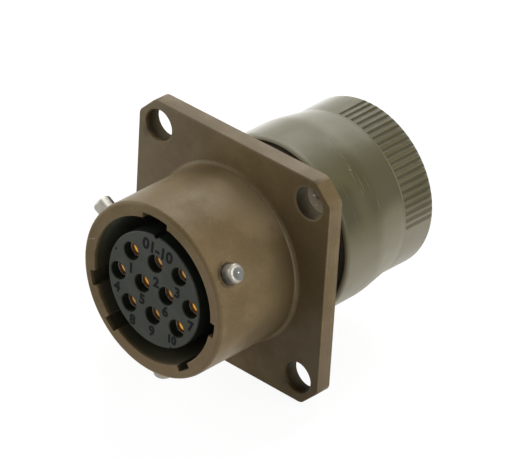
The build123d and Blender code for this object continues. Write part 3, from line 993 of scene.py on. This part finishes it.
class CONNECTOR_OT_pins(bpy.types.Operator):
    """Turns the three bayonet pins, with a rounded end and a shallow dish"""

    bl_idname = "connector.pins"
    bl_label = "Bayonet pins"

    def execute(self, context):
        sizes = context.scene.connector_sizes
        steel = make_finish("pin_steel_finish")
        section = [
            (0, 0, sizes.pin_foot),
            (sizes.pin_radius, 0, sizes.pin_foot),
            (sizes.pin_radius, 0, sizes.pin_tip),
            (sizes.pin_dish, 0, sizes.pin_tip),
            (0, 0, sizes.pin_tip - sizes.pin_dish_depth),
        ]
        for number, turn in enumerate(pin_angles, 1):
            shape = spun(section)
            rim = [edge for edge in shape.edges if all(
                abs(vert.co.z - sizes.pin_tip) < TOUCH
                and abs(math.hypot(vert.co.x, vert.co.y) - sizes.pin_radius) < TOUCH
                for vert in edge.verts
            )]
            bmesh.ops.bevel(
                shape, geom=rim, offset=sizes.pin_round, segments=pin_round_segments, profile=0.5,
                affect="EDGES", material=-1,
            )
            turn_to_pin(shape, turn, sizes)
            new_piece(
                f"steel_pin_{number}", shape, steel, "receptacle", [f"bayonet_pin_{number}"],
                sharp=sharp_pin_edge,
            )
        return {"FINISHED"}


class CONNECTOR_OT_staked_rims(bpy.types.Operator):
    """Raises the low, uneven rim of metal round the foot of each pin"""

    bl_idname = "connector.staked_rims"
    bl_label = "Rims round the pins"

    def execute(self, context):
        sizes = context.scene.connector_sizes
        plating = bpy.data.materials["brown_plating"]
        section = []
        for step in range(rim_section_steps + 1):
            along = FULL_TURN * step / rim_section_steps
            section.append((
                sizes.rim_radius + sizes.rim_width * math.cos(along), 0, sizes.rim_height * math.sin(along)
            ))
        for number, turn in enumerate(pin_angles, 1):
            shape = spun(section)
            for vert in shape.verts:
                round_pin = math.atan2(vert.co.y, vert.co.x)
                waves = math.sin(rim_waves[0] * round_pin + number) * math.sin(rim_waves[1] * round_pin)
                vert.co.z *= 1 + rim_unevenness * waves
                vert.co.z += math.sqrt(sizes.barrel_radius ** 2 - vert.co.x ** 2)
            turn_to_pin(shape, turn, sizes)
            new_piece(f"pin_rim_{number}", shape, plating, "receptacle", sharp=sharp_rim_edge)
        return {"FINISHED"}


class CONNECTOR_OT_insulators(bpy.types.Operator):
    """Finishes the moulded insert and the rear insulator"""

    bl_idname = "connector.insulators"
    bl_label = "Insulators"

    def execute(self, context):
        plastic_face = make_finish("insert_plastic")
        width = context.scene.connector_sizes.edge_break
        remade_node("moulded_insert", "front_insulator", plastic_face, "receptacle", width)
        dress_nodes(make_finish("rear_plastic"), "retention_disc")
        return {"FINISHED"}


class CONNECTOR_OT_numbers(bpy.types.Operator):
    """Prints a number beside each contact hole, their range above them, and two small dots"""

    bl_idname = "connector.numbers"
    bl_label = "Contact numbers"

    def execute(self, context):
        sizes = context.scene.connector_sizes
        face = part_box("front_insulator")[0].y
        upright = Matrix.Rotation(math.radians(90), 4, "X")
        shapes = []
        words = [
            (str(number), x, z, 1.0 if number < 10 else two_figure_share, 0.0)
            for number, (x, z) in enumerate(number_places, 1)
        ]
        for word, x, z, share, turn in (*words, range_label):
            text = bpy.data.curves.new(f"number_{word}", "FONT")
            text.body = word
            text.size = share * sizes.number_height
            text.align_x = "CENTER"
            text.align_y = "CENTER"
            text.resolution_u = letter_steps
            text.extrude = sizes.number_thickness
            text.offset = sizes.number_weight
            holder = placed(text.name, text)
            context.view_layer.update()
            flat = bpy.data.meshes.new_from_object(holder.evaluated_get(context.evaluated_depsgraph_get()))
            turned = Matrix.Rotation(math.radians(turn), 4, "Y")
            flat.transform(Matrix.Translation((x * MM, face, z * MM)) @ turned @ upright)
            shape = bmesh.new()
            shape.from_mesh(flat)
            bmesh.ops.remove_doubles(shape, verts=shape.verts, dist=WELD)
            shapes.append(shape)
            bpy.data.objects.remove(holder)
            bpy.data.curves.remove(text)
            bpy.data.meshes.remove(flat)
        for x, z in mould_dots:
            dot = bmesh.new()
            place = Matrix.Translation((x * MM, face, z * MM)) @ upright
            bmesh.ops.create_cone(
                dot, cap_ends=True, segments=dot_steps, radius1=dot_base, radius2=dot_top,
                depth=2 * sizes.number_thickness, matrix=place,
            )
            shapes.append(dot)
        ink = make_finish("number_ink")
        new_piece("contact_numbers", joined(shapes), ink, "receptacle", sharp=sharp_small_edge)
        return {"FINISHED"}


class CONNECTOR_OT_contacts(bpy.types.Operator):
    """Gilds the socket contacts and finishes their hoods and retention clips"""

    bl_idname = "connector.contacts"
    bl_label = "Contacts"

    def execute(self, context):
        names = ("contact_gold_plate", "contact_gold_clean", "hood_sleeve", "clip_alloy")
        gold, painted_bright_gold, hood, clips = (make_finish(name) for name in names)
        for number in range(1, len(number_places) + 1):
            # Some contacts get the brighter gold, a painted highlight
            dress_nodes(painted_bright_gold if number in painted_bright_contacts else gold, f"socket_contact_{number}")
            dress_nodes(hood, f"contact_hood_{number}")
        dress_nodes(clips, "retention_clips")
        return {"FINISHED"}


class CONNECTOR_OT_rear_pieces(bpy.types.Operator):
    """Finishes the rings, the seal and the wire grommet behind the insulators"""

    bl_idname = "connector.rear_pieces"
    bl_label = "Rings and grommet"

    def execute(self, context):
        for name, node in (
            ("ring_steel", "retaining_ring"), ("follower_aluminium", "follower_ring"),
            ("grommet_rubber", "wire_grommet"), ("seal_black", "seal_ring"),
        ):
            dress_nodes(make_finish(name), node)
        return {"FINISHED"}


class CONNECTOR_OT_endbell(bpy.types.Operator):
    """Finishes the fluted endbell with an olive coat"""

    bl_idname = "connector.endbell"
    bl_label = "Endbell"

    def execute(self, context):
        olive = make_finish("olive_finish")
        width = endbell_break_share * context.scene.connector_sizes.edge_break
        remade_node("olive_endbell", "endbell", olive, "endbell_nut", width)
        return {"FINISHED"}


class CONNECTOR_OT_stage(bpy.types.Operator):
    """Sets the floor, the room light, three soft lamps and the camera"""

    bl_idname = "connector.stage"
    bl_label = "Stage"

    def execute(self, context):
        stage = context.scene.connector_stage
        make_floor(cad_box[0].z - stage.floor_gap)
        make_room(context.scene, stage.room_light)
        for name, (place, size, power) in lamps.items():
            make_lamp(name, place, size, getattr(stage, power))
        make_camera(context.scene, stage)
        context.scene.view_settings.view_transform = "Standard"
        return {"FINISHED"}


def background_rays(graph):
    """1 for a ray that sees the background: from the camera, or by reflection or through glass."""
    path = graph.node("ShaderNodeLightPath").outputs
    seen = graph.math("ADD", path["Is Camera Ray"], path["Is Glossy Ray"])
    return graph.math("MINIMUM", graph.math("ADD", seen, path["Is Transmission Ray"]), 1.0)


def make_floor(height):
    """Wide white floor, which takes the connector's shadow."""
    shape = bmesh.new()
    place = Matrix.Translation((0, 0, height))
    bmesh.ops.create_circle(shape, cap_ends=True, segments=floor_steps, radius=floor_radius, matrix=place)
    data = bpy.data.meshes.new("studio_floor")
    shape.to_mesh(data)
    shape.free()
    floor = placed("studio_floor", data)
    material = bpy.data.materials.new("white_floor")
    graph = empty_graph(material)
    away = graph.vector("DISTANCE", graph.place(), (0.0, 0.0, 0.0))
    strength = graph.between(away, *floor_fade, floor_glow_near, floor_glow_far)
    paper = graph.node("ShaderNodeBsdfDiffuse", {"Color": floor_paper})
    shaded = graph.node("ShaderNodeBsdfDiffuse", {"Color": floor_shaded})
    glow = graph.node("ShaderNodeEmission", {"Color": white, "Strength": strength})
    seen = graph.node("ShaderNodeAddShader", {0: shaded.outputs[0], 1: glow.outputs[0]})
    inputs = {0: background_rays(graph), 1: paper.outputs[0], 2: seen.outputs[0]}
    graph.node("ShaderNodeOutputMaterial", {"Surface": graph.node("ShaderNodeMixShader", inputs).outputs[0]})
    set_material(floor, material)


def make_room(scene, level):
    """Even light from all round, seen as white."""
    world = bpy.data.worlds.new("white_room")
    graph = empty_graph(world)
    strength = graph.between(background_rays(graph), 0.0, 1.0, level, 1.0)
    light = graph.node("ShaderNodeBackground", {"Color": white, "Strength": strength})
    graph.node("ShaderNodeOutputWorld", {"Surface": light.outputs[0]})
    scene.world = world


def make_lamp(name, place, size, power):
    """Soft square lamp that shines at the connector."""
    light = bpy.data.lights.new(name, "AREA")
    light.shape = "SQUARE"
    light.size = size
    light.energy = power
    lamp = placed(name, light)
    lamp.location = place
    lamp.rotation_euler = (-Vector(place)).to_track_quat("-Z", "Y").to_euler()


def make_camera(scene, stage):
    """Camera at the photograph's viewing angle."""
    tilt = Matrix.Rotation(math.radians(90) - stage.elevation, 3, "X")
    turn = Matrix.Rotation(stage.azimuth, 3, "Z") @ tilt @ Matrix.Rotation(stage.roll, 3, "Z")
    data = bpy.data.cameras.new("camera")
    data.lens = stage.lens
    data.clip_start = nearest_view
    camera = placed("camera", data)
    place = Vector(stage.target) + turn @ Vector((0.0, 0.0, stage.distance))
    camera.matrix_world = Matrix.Translation(place) @ turn.to_4x4()
    scene.camera = camera


class CONNECTOR_PT_panel(bpy.types.Panel):
    """Sizes, colours and steps of the connector"""

    bl_idname = "CONNECTOR_PT_panel"
    bl_label = "Bayonet connector"
    bl_space_type = "VIEW_3D"
    bl_region_type = "UI"
    bl_category = "Connector"

    def draw(self, context):
        column = self.layout.column()
        for step in steps:
            column.operator(step.bl_idname)
        for group in (getattr(context.scene, name) for name in groups):
            box = self.layout.box()
            for name in type(group).__annotations__:
                box.prop(group, name)


steps = (
    CONNECTOR_OT_shell,
    CONNECTOR_OT_rear_thread,
    CONNECTOR_OT_pins,
    CONNECTOR_OT_staked_rims,
    CONNECTOR_OT_insulators,
    CONNECTOR_OT_numbers,
    CONNECTOR_OT_contacts,
    CONNECTOR_OT_rear_pieces,
    CONNECTOR_OT_endbell,
    CONNECTOR_OT_stage,
)
groups = {
    "connector_colours": ConnectorColours,
    "connector_sizes": ConnectorSizes,
    "connector_stage": ConnectorStage,
}


def register():
    for name, group in groups.items():
        bpy.utils.register_class(group)
        setattr(bpy.types.Scene, name, bpy.props.PointerProperty(type=group))
    for item in (*steps, CONNECTOR_PT_panel):
        bpy.utils.register_class(item)


def unregister():
    for item in reversed((*steps, CONNECTOR_PT_panel)):
        bpy.utils.unregister_class(item)
    for name, group in groups.items():
        delattr(bpy.types.Scene, name)
        bpy.utils.unregister_class(group)


def main():
    """Runs every step in order."""
    register()
    for step in steps:
        family, name = step.bl_idname.split(".")
        getattr(getattr(bpy.ops, family), name)()


if __name__ == "__main__":
    main()
